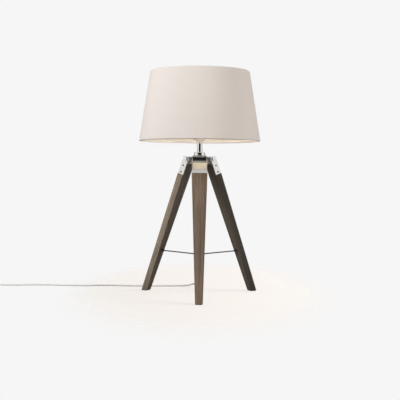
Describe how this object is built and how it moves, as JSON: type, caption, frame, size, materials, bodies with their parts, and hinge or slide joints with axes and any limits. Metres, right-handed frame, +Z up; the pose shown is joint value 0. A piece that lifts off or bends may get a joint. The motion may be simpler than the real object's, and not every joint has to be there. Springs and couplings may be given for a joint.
{
  "type": "tripod table lamp",
  "caption": "Table lamp with a tapered fabric shade on a push-bar lampholder, a metal hub and folding wooden tripod legs joined by a wire spreader.",
  "frame": {"origin": "on the table, under the middle of the lamp's outline seen from above, with the lead left out", "axes": "+Z up along the lamp axis, -Y towards the front leg, the lead runs to -X"},
  "size_m": [0.8949, 0.3807, 0.646],
  "materials": {
    "washed_wood": "satin",
    "satin_metal": "satin",
    "chrome": "polished",
    "zinc_steel": "satin",
    "dark_steel": "satin",
    "holder_plastic": "satin",
    "switch_plastic": "gloss",
    "porcelain": "gloss",
    "brass": "satin",
    "nickel": "polished",
    "bulb_white": "satin",
    "opal_globe": "satin",
    "shade_fabric": "woven",
    "lining_fabric": "smooth",
    "white_wire": "satin",
    "foot_rubber": "matte",
    "cord_pvc": "satin",
    "tie_band": "matte"
  },
  "bodies": {
    "lamp_head": {"hub": "satin_metal", "hub_collar": "chrome", "neck_tube": "chrome", "threaded_tube": "zinc_steel", "hub_washer": "zinc_steel", "hub_nut": "zinc_steel", "strain_relief": "cord_pvc", "holder_base": "holder_plastic", "holder_body": "holder_plastic", "insulator": "porcelain", "screw_shell": "brass", "centre_contact": "brass", "shade_cover": "shade_fabric", "shade_lining": "lining_fabric", "shade_top_ring": "white_wire", "shade_bottom_ring": "white_wire", "shade_fitter": "white_wire", "cord_run": "cord_pvc", "cord_coil": "cord_pvc", "cord_tail": "cord_pvc", "cord_tie": "tie_band", "plug_body": "cord_pvc", "plug_pins": "nickel"},
    "front_leg": {"front_leg": "washed_wood", "front_bracket": "satin_metal", "front_bracket_screws": "zinc_steel", "front_hinge_pin": "satin_metal", "front_foot_pad": "foot_rubber", "front_clevis": "dark_steel", "front_rod_pin": "dark_steel"},
    "left_leg": {"left_leg": "washed_wood", "left_bracket": "satin_metal", "left_bracket_screws": "zinc_steel", "left_hinge_pin": "satin_metal", "left_foot_pad": "foot_rubber", "left_clevis": "dark_steel", "left_rod_pin": "dark_steel"},
    "right_leg": {"right_leg": "washed_wood", "right_bracket": "satin_metal", "right_bracket_screws": "zinc_steel", "right_hinge_pin": "satin_metal", "right_foot_pad": "foot_rubber", "right_clevis": "dark_steel", "right_rod_pin": "dark_steel"},
    "front_rod": {"front_rod": "dark_steel"},
    "left_rod": {"left_rod": "dark_steel"},
    "right_rod": {"right_rod": "dark_steel"},
    "spreader": {"spreader_plate": "dark_steel", "spreader_screw": "dark_steel"},
    "switch": {"switch_bar": "switch_plastic"},
    "shade_ring": {"shade_ring": "holder_plastic"},
    "bulb": {"bulb_cap": "nickel", "bulb_heat_sink": "bulb_white", "bulb_globe": "opal_globe"}
  },
  "joints": [
    {"name": "front_leg_fold", "type": "hinge", "parent": "lamp_head", "child": "front_leg", "pos_m": [0, -0.028, 0.388], "axis": [1, 0, 0], "range_deg": [0, 16]},
    {"name": "left_leg_fold", "type": "hinge", "parent": "lamp_head", "child": "left_leg", "pos_m": [-0.03291, 0.029, 0.388], "axis": [-0.5, -0.866, 0], "range_deg": [0, 16]},
    {"name": "right_leg_fold", "type": "hinge", "parent": "lamp_head", "child": "right_leg", "pos_m": [0.03291, 0.029, 0.388], "axis": [-0.5, 0.866, 0], "range_deg": [0, 16]},
    {"name": "front_rod_swing", "type": "hinge", "parent": "front_leg", "child": "front_rod", "pos_m": [0, -0.11307, 0.12295], "axis": [1, 0, 0], "range_deg": [-101.65, 0]},
    {"name": "left_rod_swing", "type": "hinge", "parent": "left_leg", "child": "left_rod", "pos_m": [-0.10659, 0.07154, 0.12295], "axis": [-0.5, -0.866, 0], "range_deg": [-101.65, 0]},
    {"name": "right_rod_swing", "type": "hinge", "parent": "right_leg", "child": "right_rod", "pos_m": [0.10659, 0.07154, 0.12295], "axis": [-0.5, 0.866, 0], "range_deg": [-101.65, 0]},
    {"name": "spreader_drop", "type": "slide", "parent": "lamp_head", "child": "spreader", "axis": [0, 0, -1], "range_m": [0, 0.1153]},
    {"name": "switch_push", "type": "slide", "parent": "lamp_head", "child": "switch", "axis": [1, 0, 0], "range_m": [0, 0.004]},
    {"name": "shade_ring_turn", "type": "hinge", "parent": "lamp_head", "child": "shade_ring", "pos_m": [0, 0.01, 0.477], "axis": [0, 0, 1], "continuous": true},
    {"name": "bulb_turn", "type": "hinge", "parent": "lamp_head", "child": "bulb", "pos_m": [0, 0.01, 0.49], "axis": [0, 0, 1], "continuous": true}
  ],
  "couplings": [
    {"joint": "left_leg_fold", "follows": "front_leg_fold", "ratio": 1},
    {"joint": "right_leg_fold", "follows": "front_leg_fold", "ratio": 1},
    {"joint": "front_rod_swing", "follows": "front_leg_fold", "ratio": -6.35},
    {"joint": "left_rod_swing", "follows": "front_leg_fold", "ratio": -6.35},
    {"joint": "right_rod_swing", "follows": "front_leg_fold", "ratio": -6.35},
    {"joint": "spreader_drop", "follows": "front_leg_fold", "m_per_rad": 0.41253}
  ]
}
